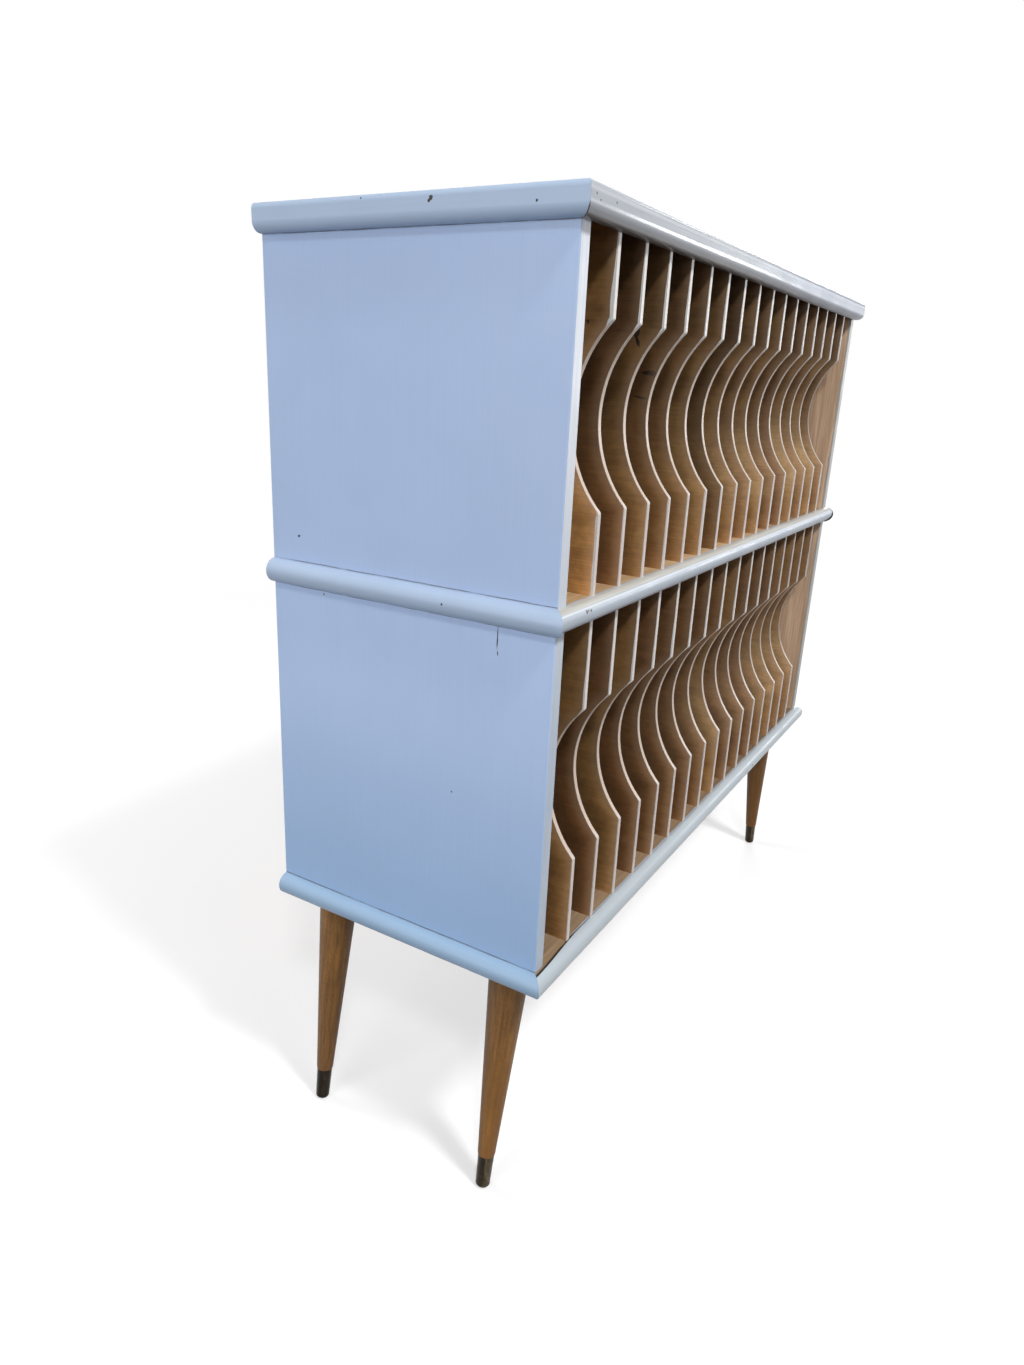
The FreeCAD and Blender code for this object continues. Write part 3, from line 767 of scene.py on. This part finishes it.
def shelf_wear_and_highlight(shader, paint, upward, streaks, at_shelf):
    """The top of the shelf's front moulding is worn down to a cream undercoat, with a painted highlight
    along its shoulder.
    """
    worn = shader.step(upward, 0.64, 0.72) * at_shelf
    paint = shader.mix(worn, paint, shader.tone(UNDERCOAT, streaks, 0.14))
    # Painted highlight along the shoulder.
    shoulder = shader.near(upward, 0.57, 0.03, 0.11) * at_shelf
    return shader.mix(shoulder * 0.75, paint, SHOULDER_HIGHLIGHT)


def top_streaks_and_painted_light(shader, paint, upward, streaks, edge, at_top):
    """The top front moulding has brush streaks, and painted light and shade: a highlight line under a dark
    reflection band, a cooler far end and a darker underside.
    """
    paint = shader.mix(at_top * 0.8, paint, shader.tone(paint, streaks, 0.10))
    # A painted highlight line, and above it a painted dark reflection band.
    highlight_z = TOP_Z - 0.0068 + edge * 0.02
    paint = shader.mix(shader.near(shader.z, highlight_z, 0.0004, 0.0024, 0.55), paint, UPPER_HIGHLIGHT)
    paint = shader.mix(shader.near(shader.z, TOP_Z - 0.0030, 0.0003, 0.0014, 0.40), paint, DARK_REFLECTION_BAND)
    # Painted shade: the far end is cooler and darker.
    far = shader.step(shader.x, -0.20, 0.20) * at_top
    paint = shader.tinted(far, paint, FAR_TOP_SHADE_TINT)
    # Painted shade: the underside is darker.
    underside_shade = shader.step(upward, -0.60, -0.92, 0.0, 0.62) * at_top
    return shader.mix(underside_shade, paint, UNDERSIDE_SHADE)


def bottom_gap(shader, paint, upward, forward):
    """At the left end the bottom board's bare wood and the dark gap come a little further forward."""
    at_bottom = shader.under(shader.z, BOTTOM_TOP_Z + MOULDING_RADIUS) * shader.above(upward, 0.5)
    reach = shader.step(shader.x, -0.55, -0.43, 0.0036, -0.0015)
    bare = shader.step(forward, reach, reach + 0.0004, 1.0, 0.0) * at_bottom
    paint = shader.mix(bare, paint, BOTTOM_DARK)
    slit = shader.near(forward, reach, 0.0008, 0.0016) * at_bottom
    return shader.mix(slit, paint, CRACK)


def moulding_material(name, colour, gloss, along, coat=0.0):
    """Brushed paint on a moulding: along "x" for the front ones and along "y" for the side ones."""
    shader = Shader(name)
    # Painted shade: the side mouldings darken towards the floor.
    if along == "y":
        colour = floor_shade(shader, colour)
    upward = upwardness(shader, along)
    round_out = round_normal(shader, along, upward)
    paint, rough, normal = paint_surface(shader, colour, gloss, along, round_out)
    outward = shader.size(shader.x) - OUTER_X
    forward = FRONT_Y - shader.y
    at_top = shader.above(shader.z, TOP_UNDER_Z - 0.03)
    paint = shader.mix(mitre_line(shader, outward, forward), paint, CRACK)
    paint = moulding_joint(shader, paint, outward, forward, at_top)
    coat_share = shader.step(upward, 0.45, 0.90, coat, coat * 0.2)

    if along == "y":
        # Painted light: the right-hand side mouldings are whiter at their front corners.
        corner = shader.step(shader.y, FRONT_Y + 0.03, FRONT_Y) * shader.above(shader.x, 0.0)
        paint = shader.mix(corner, paint, CORNER_PAINTED_LIGHT)
    else:
        from_shelf = shader.size(shader.z - (SHELF_UNDER_Z + SHELF_TOP_Z) / 2)
        at_shelf = shader.under(from_shelf, 2 * MOULDING_RADIUS)
        streaks = shader.texture((9, 400, 400), 4)
        edge = (streaks - 0.5) * 0.10
        paint = shelf_wear_and_highlight(shader, paint, upward + edge, streaks, at_shelf)
        paint = top_streaks_and_painted_light(shader, paint, upward, streaks, edge, at_top)
        paint = bottom_gap(shader, paint, upward, forward)

        # The gloss is gone from the near end of the shelf and the far end of the top.
        near = at_shelf * shader.step(shader.x, -0.45, 0.15, 0.8, 0.0)
        far = at_top * shader.step(shader.x, -0.35, 0.30, 0.0, 0.95)
        coat_share = coat_share * (1 - near - far)

    flecks = shader.step(shader.noise(shader.point, 210, 3, 0.7), 0.765, 0.785)
    marks = shader.most(shader.spots(MOULDING_CHIPS, 0.0009), flecks * 0.8)
    paint = shader.mix(marks, paint, WOOD_BENEATH)
    normal = shader.bump(1 - marks, 0.0003, 0.8, normal)
    return shader.finish(paint, rough, normal, specular=0.35,
                         coat=coat_share, coat_roughness=0.13, coat_normal=round_out)


# ---------- legs, metal and dowels ----------

# Painted shade and highlight: legs are darker where they turn away from the one direction, ferrules brighter
# where they face the other.
LEG_LIT_SIDE = (-0.76, -0.65, 0.0)
FERRULE_LIT_SIDE = (-0.57, -0.82, 0.0)


def leg_material():
    """Stained wood with the grain along the splayed leg."""
    shader = Shader("leg_wood")
    along_axis = shader.size(shader.x) + shader.z * math.tan(LEG_SPLAY)
    upright = shader.join(along_axis, shader.y, shader.z)
    colour, rough, normal = grain(shader, LEG_PALE, LEG_DARK, "z", 5.0, 1100, 90, upright)
    colour = shader.mix(0.45, colour, shader.mix(0.25, LEG_PALE, LEG_DARK))
    colour = shader.tone(colour, shader.noise(shader.point, 30, 4), 0.14)
    colour = shader.tone(colour, shader.texture((420, 420, 300), 3, 0.7), 0.13)

    # The front legs are darker at the top; the right-hand ones all over and the back ones at the foot are
    # darker as painted shade.
    front = shader.under(shader.y, 0.0)
    right = shader.above(shader.x, 0.0)
    up = front * shader.step(shader.z, 0.18, UNDERSIDE_Z, 0.0, 0.35)
    colour = shader.mix(shader.most(up, right * 0.75), colour, LEG_DARK)
    tip = shader.step(shader.z, 0.075, 0.045, 0.0, 0.35)
    colour = shader.mix(tip, colour, LEG_RED)
    # Painted shade on the back legs' feet.
    behind = (1 - front) * shader.step(shader.z, 0.22, 0.04, 0.0, 0.55)
    colour = shader.mix(behind, colour, LEG_DARK)

    # Streaks and specks run along the leg, and the front legs are more amber low down.
    streaks = shader.texture((260, 260, 9), 3, offset=(0, 0, 4), vector=upright)
    specks = shader.texture((1300, 1300, 260), 3, 0.8, offset=(5, 0, 0), vector=upright)
    colour = shader.tone(shader.tone(colour, streaks, 0.28), specks, 0.20)
    low = front * shader.step(shader.z, 0.26, 0.10, 0.0, 0.4)
    colour = shader.mix(low, colour, LEG_AMBER)
    # Painted shade: darker at the sides that turn away from LEG_LIT_SIDE.
    sides = shader.step(shader.facing(LEG_LIT_SIDE), 0.15, 0.80, 0.62, 0.0)
    colour = shader.mix(sides, colour, LEG_SHADE)
    return shader.finish(colour, rough, normal, specular=0.3)


def brass_material():
    """Dark aged brass with painted light and shade: brighter on its lit side, darker elsewhere, and blacker
    on the back feet.
    """
    shader = Shader("aged_brass")
    cloud = shader.texture((150, 150, 70), 5, 0.7)
    colour = shader.mix(shader.step(cloud, 0.35, 0.75), BRASS_DARK, BRASS_PALE)
    # Painted highlight and shade: bright where the ferrule faces FERRULE_LIT_SIDE, darker elsewhere, and
    # blacker on the back feet.
    worn = shader.step(shader.facing(FERRULE_LIT_SIDE), 0.80, 0.97)
    colour = shader.mix(worn, shader.mix(0.75, colour, BRASS_SHADE), colour)
    colour = shader.mix(shader.step(shader.y, 0.0, 0.1, 0.0, 0.8), colour, BRASS_SHADE)
    rough = shader.step(cloud, 0.3, 0.7, 0.36, 0.22)
    scratches = shader.texture((900, 900, 60), 3)
    return shader.finish(colour, rough, shader.bump(scratches, 0.00004, 0.4), metallic=0.9)


def steel_material():
    """Zinc-plated steel, a little cloudy."""
    shader = Shader("steel")
    cloud = shader.noise(shader.point, 240, 4)
    colour = shader.mix(cloud, STEEL_DARK, STEEL_PALE)
    return shader.finish(colour, shader.step(cloud, 0.3, 0.7, 0.3, 0.5), metallic=1.0)


def dowel_material():
    """Plain beech."""
    shader = Shader("beech_dowel")
    colour, rough, normal = grain(shader, BEECH_PALE, BEECH_DARK, "z", 2.0, 1500, 300)
    return shader.finish(colour, rough, normal)


# ---------- which node has which look ----------

STEEL_NODES = ("leg_mounting_plates", "leg_hanger_bolts", "mounting_plate_screws")

looks = {
    "divider": divider_material(),
    "top_board": board_material("top_board", painted_top=True),
    "shelf_board": board_material("shelf_board"),
    "bottom_board": board_material("bottom_board", BOTTOM_PALE, BOTTOM_DARK, gap_at_front=True),
    "back_panel": back_material(),
    "side_panel": side_material(),
    # The front mouldings' colours are painted light: paler than the blue, darker on the top one and lighter
    # on the bottom one.
    "top_moulding_front": moulding_material("gloss_moulding", TOP_FRONT_PAINT_LIT, 0.34, "x", 0.48),
    "bottom_moulding_front": moulding_material("bottom_moulding", BOTTOM_FRONT_PAINT_LIT, 0.36, "x", 0.04),
    "moulding_front": moulding_material("pale_moulding", FRONT_PAINT_LIT, 0.36, "x", 0.04),
    "moulding": moulding_material("blue_moulding", MOULDING_BLUE, 0.46, "y"),
    "ferrule": brass_material(),
    "dowels": dowel_material(),
    "steel": steel_material(),
    "leg": leg_material(),
}


def look_of(name):
    """Steel for the plates, bolts and screws, or else the first look whose name is part of the node's."""
    if name in STEEL_NODES:
        return looks["steel"]
    return next(material for part, material in looks.items() if part in name)


def set_material(node, material):
    """Makes a material the node's only one."""
    slots = node.data.materials
    slots.clear()
    slots.append(material)


for name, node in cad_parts.items():
    set_material(node, look_of(name))


# ---------- small fasteners ----------

def add_piece(name, shape, material):
    """Makes a smooth piece of a bmesh, which it frees, and has it ride on the root body."""
    shape.normal_update()
    mesh = bpy.data.meshes.new(name)
    shape.to_mesh(mesh)
    shape.free()
    for face in mesh.polygons:
        face.use_smooth = True
    piece = bpy.data.objects.new(name, mesh)
    bpy.context.scene.collection.objects.link(piece)
    set_material(piece, material)
    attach(piece, "root")
    return piece


def lathe(shape, rings, place, turns, dent=None):
    """Adds a closed turned form of (radius, depth) rings to shape. dent(radius, angle, depth) sinks it."""
    rows = []
    for radius, depth in rings:
        row = []
        for turn in range(turns if radius else 1):
            angle = 2 * math.pi * turn / turns
            sunk = depth + (dent(radius, angle, depth) if dent else 0.0)
            local = Vector((radius * math.cos(angle), radius * math.sin(angle), sunk))
            row.append(shape.verts.new(place @ local))
        rows.append(row)
    for upper, lower in zip(rows, rows[1:]):
        for turn in range(turns):
            after = (turn + 1) % turns
            corners = [upper[turn % len(upper)], upper[after % len(upper)],
                       lower[after % len(lower)], lower[turn % len(lower)]]
            shape.faces.new(list(dict.fromkeys(corners)))


PIN_RADIUS = 0.0016
PIN_SHANK_RADIUS = PIN_RADIUS * 0.5
PIN_HEAD_THICKNESS = 0.0006
PIN_LENGTH = 0.0140
PIN_POINT = 0.0020
PIN_PROUD = 0.00004
PIN_INSET = 0.0045
PIN_PITCH = 0.110
PIN_TURNS = 16


def back_pins():
    """Panel pins driven flush round the edge of the back panel."""
    low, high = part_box("back_panel")
    left, right = low[0] + PIN_INSET, high[0] - PIN_INSET
    bottom, top = low[2] + PIN_INSET, high[2] - PIN_INSET
    across = round((right - left) / PIN_PITCH)
    up = round((top - bottom) / PIN_PITCH)
    places = [(left + (right - left) * i / across, z) for i in range(across + 1) for z in (bottom, top)]
    places += [(x, bottom + (top - bottom) * i / up) for i in range(1, up) for x in (left, right)]
    head = [(0.0, 0.0), (PIN_RADIUS * 0.6, -PIN_PROUD / 4), (PIN_RADIUS * 0.9, -PIN_PROUD / 2),
            (PIN_RADIUS, -PIN_PROUD), (PIN_RADIUS, -PIN_HEAD_THICKNESS)]
    shank = [(PIN_SHANK_RADIUS, -2 * PIN_HEAD_THICKNESS), (PIN_SHANK_RADIUS, PIN_POINT - PIN_LENGTH),
             (0.0, -PIN_LENGTH)]
    shape = bmesh.new()
    for x, z in places:
        outward = Matrix.Translation((x, BACK_Y + PIN_PROUD, z)) @ Matrix.Rotation(-math.pi / 2, 4, "X")
        lathe(shape, head + shank, outward, PIN_TURNS)
    add_piece("back_panel_pins", shape, looks["steel"])


SCREW_PITCH = 0.048
PLATE_SIDE = 0.064
PLATE_THICKNESS = 0.0025
SCREW_HEAD_RADIUS = 0.004
SCREW_HEAD_HEIGHT = 0.0024
SCREW_RADIUS = 0.002
SCREW_LENGTH = 0.014
SCREW_POINT = 0.003
SCREW_TURNS = 48
RECESS_HALF_WIDTH = 0.00055
RECESS_REACH = 0.0022
RECESS_DEPTH = 0.0013


def cross_recess(radius, angle, depth):
    """Sinks the top of a screw head along a cross, deeper towards the middle."""
    if depth < -SCREW_HEAD_HEIGHT * 0.4 or radius > RECESS_REACH:
        return 0.0
    off_arm = radius * abs(math.sin(2 * angle)) / 2
    if off_arm > RECESS_HALF_WIDTH:
        return 0.0
    return -RECESS_DEPTH * (1 - 0.6 * radius / RECESS_REACH)


def plate_screws():
    """Pan-head screws with a cross recess, which stand for the plain ones under the bottom board."""
    low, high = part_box("leg_mounting_plates")
    middles = [(x, y) for x in (low[0] + PLATE_SIDE / 2, high[0] - PLATE_SIDE / 2)
               for y in (low[1] + PLATE_SIDE / 2, high[1] - PLATE_SIDE / 2)]
    half = SCREW_PITCH / 2
    places = [(x + dx, y + dy) for x, y in middles for dx in (-half, half) for dy in (-half, half)]
    crown = [(RECESS_REACH * step / 8, -0.00004 * step) for step in range(9)]
    rim = [(0.0026, -0.00045), (0.0031, -0.00075), (0.0036, -0.00125), (0.0039, -0.0018),
           (SCREW_HEAD_RADIUS, -SCREW_HEAD_HEIGHT)]
    tip_depth = -SCREW_HEAD_HEIGHT - SCREW_LENGTH
    shank = [(SCREW_RADIUS, -SCREW_HEAD_HEIGHT), (SCREW_RADIUS, tip_depth + SCREW_POINT), (0.0, tip_depth)]
    head_z = UNDERSIDE_Z - PLATE_THICKNESS - SCREW_HEAD_HEIGHT
    shape = bmesh.new()
    for number, (x, y) in enumerate(places):
        place = (Matrix.Translation((x, y, head_z)) @ Matrix.Rotation(math.pi, 4, "X")
                 @ Matrix.Rotation(1.1 * number, 4, "Z"))
        lathe(shape, crown + rim + shank, place, SCREW_TURNS, cross_recess)
    screws = add_piece("plate_screws_with_recess", shape, looks["steel"])
    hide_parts("mounting_plate_screws")


back_pins()
plate_screws()


# ---------- camera ----------

def look_axes(yaw, pitch, roll):
    """The camera's right, up and ahead directions. A yaw of 0 looks along +Y."""
    ahead = Vector((math.sin(yaw) * math.cos(pitch), math.cos(yaw) * math.cos(pitch), math.sin(pitch)))
    level_right = Vector((math.cos(yaw), -math.sin(yaw), 0))
    level_up = level_right.cross(ahead)
    right = math.cos(roll) * level_right + math.sin(roll) * level_up
    up = -math.sin(roll) * level_right + math.cos(roll) * level_up
    return right, up, ahead


CAMERA_PLACE = Vector((-1.30958, -0.57958, BOTTOM_TOP_Z + 0.62533))
CAMERA_YAW = 1.0403
CAMERA_PITCH = -0.3214
CAMERA_ROLL = 0.0475
SENSOR = 36.0
FOCAL_SHARE = 906.69 / 1365     # focal length over the picture's height

right, up, ahead = look_axes(CAMERA_YAW, CAMERA_PITCH, CAMERA_ROLL)
camera = bpy.data.objects.new("camera", bpy.data.cameras.new("camera"))
bpy.context.scene.collection.objects.link(camera)
camera.matrix_world = Matrix.Translation(CAMERA_PLACE) @ Matrix((right, up, -ahead)).transposed().to_4x4()
camera.data.sensor_width = SENSOR
camera.data.sensor_fit = "AUTO"
camera.data.lens = SENSOR * FOCAL_SHARE
camera.data.clip_end = 60
bpy.context.scene.camera = camera


# ---------- floor, world and lights ----------

FLOOR_HALF = 14.0
FLOOR_FADE = (1.6, 3.2)     # distance from the cabinet over which the floor turns to plain white
FLOOR_SHOWN = (0.62, 0.62, 0.63)
FLOOR_GLOW = 0.42
FLOOR_BOUNCE = (0.12, 0.12, 0.125)
SKY = (0.95, 0.97, 1.0)
SKY_STRENGTH = 0.09

floor_mesh = bpy.data.meshes.new("floor")
floor_mesh.from_pydata([(-FLOOR_HALF, -FLOOR_HALF, 0), (FLOOR_HALF, -FLOOR_HALF, 0),
                        (FLOOR_HALF, FLOOR_HALF, 0), (-FLOOR_HALF, FLOOR_HALF, 0)], [], [(0, 1, 2, 3)])
floor = bpy.data.objects.new("floor", floor_mesh)
bpy.context.scene.collection.objects.link(floor)


def floor_material():
    """Pale where it is seen, so that it shows shadows, and darker to bounced light."""
    shader = Shader("floor")
    bounce = shader.out(shader.add("ShaderNodeBsdfDiffuse", {"Color": (*FLOOR_BOUNCE, 1)}))
    shown = shader.out(shader.add("ShaderNodeBsdfDiffuse", {"Color": (*FLOOR_SHOWN, 1)}))
    glow = shader.out(shader.add("ShaderNodeEmission", {"Strength": FLOOR_GLOW}))
    lit = shader.out(shader.add("ShaderNodeAddShader", {0: shown, 1: glow}))
    white = shader.out(shader.add("ShaderNodeEmission", {"Strength": 1.0}))
    away = shader.step(shader.vector("DISTANCE", shader.point, (0, 0, 0)), *FLOOR_FADE)
    surface = shader.blend(shader.seen(), bounce, shader.blend(away, lit, white))
    shader.add("ShaderNodeOutputMaterial", {"Surface": surface})
    return shader.owner


set_material(floor, floor_material())


def light_world():
    """White where it is seen, and a soft even light on the object."""
    world = bpy.data.worlds.new("world")
    bpy.context.scene.world = world
    shader = Shader(world)
    sky = shader.out(shader.add("ShaderNodeBackground", {"Color": (*SKY, 1), "Strength": SKY_STRENGTH}))
    white = shader.out(shader.add("ShaderNodeBackground", {"Color": (1, 1, 1, 1)}))
    shader.add("ShaderNodeOutputWorld", {0: shader.blend(shader.seen(), sky, white)})


def area_light(name, place, target, width, height, watts, colour=(1, 1, 1)):
    """A rectangular light at a place that shines at a target and isn't seen itself."""
    light = bpy.data.lights.new(name, "AREA")
    light.shape = "RECTANGLE"
    light.size, light.size_y = width, height
    light.energy = watts
    light.color = colour
    lamp = bpy.data.objects.new(name, light)
    bpy.context.scene.collection.objects.link(lamp)
    lamp.location = place
    lamp.rotation_euler = (Vector(target) - Vector(place)).to_track_quat("-Z", "Y").to_euler()
    lamp.visible_camera = False


light_world()
area_light("key", (-1.0, -2.7, 4.4), (0, 0, 0.75), 0.6, 0.6, 125, (1.0, 0.985, 0.965))
area_light("front_fill", (-1.6, -3.6, 2.1), (0, -0.1, 0.9), 1.4, 1.4, 24, (1.0, 0.98, 0.96))
area_light("left_fill", (-3.3, 0.45, 1.3), (0, 0, 0.8), 1.8, 1.8, 43, (0.97, 0.98, 1.0))
area_light("left_front", (-2.6, -1.75, 3.2), (-0.3, -0.2, 0.8), 0.4, 0.4, 34, (1.0, 0.985, 0.965))
area_light("right_window", (4.1, -1.95, 1.2), (0, -0.1, 1.0), 0.8, 0.8, 22, (0.94, 0.97, 1.0))
area_light("right_skylight", (4.2, -0.8, 3.0), (0, -0.1, 1.0), 0.4, 0.4, 4)
area_light("right_fill", (3.4, 0.9, 1.6), (0, 0, 0.7), 1.6, 1.6, 55)
area_light("back_fill", (-0.6, 3.6, 1.3), (0, 0, 0.7), 1.8, 1.8, 80)
